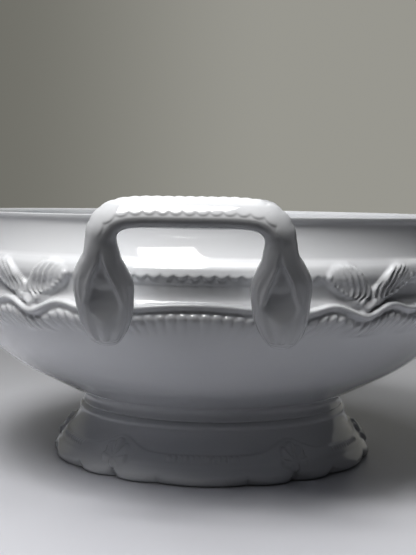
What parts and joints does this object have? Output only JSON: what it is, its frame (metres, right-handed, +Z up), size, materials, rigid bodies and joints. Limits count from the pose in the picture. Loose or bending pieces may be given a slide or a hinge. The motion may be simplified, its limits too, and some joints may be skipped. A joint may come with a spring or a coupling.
{
  "type": "soup tureen",
  "caption": "Open oval footed soup tureen in white glazed porcelain, with a relief band of leaves and gadroons, a scalloped foot and a loop handle at each end",
  "frame": {"origin": "on the table, under the middle of the foot", "axes": "+Z up, +Y along the oval from handle to handle, +X across it"},
  "size_m": [0.2216, 0.3542, 0.1082],
  "materials": {
    "glazed_porcelain": "cool white porcelain under a smooth clear gloss glaze"
  },
  "bodies": {
    "root": {"bowl": "glazed_porcelain", "foot": "glazed_porcelain", "handle_front": "glazed_porcelain", "handle_back": "glazed_porcelain"}
  },
  "joints": []
}
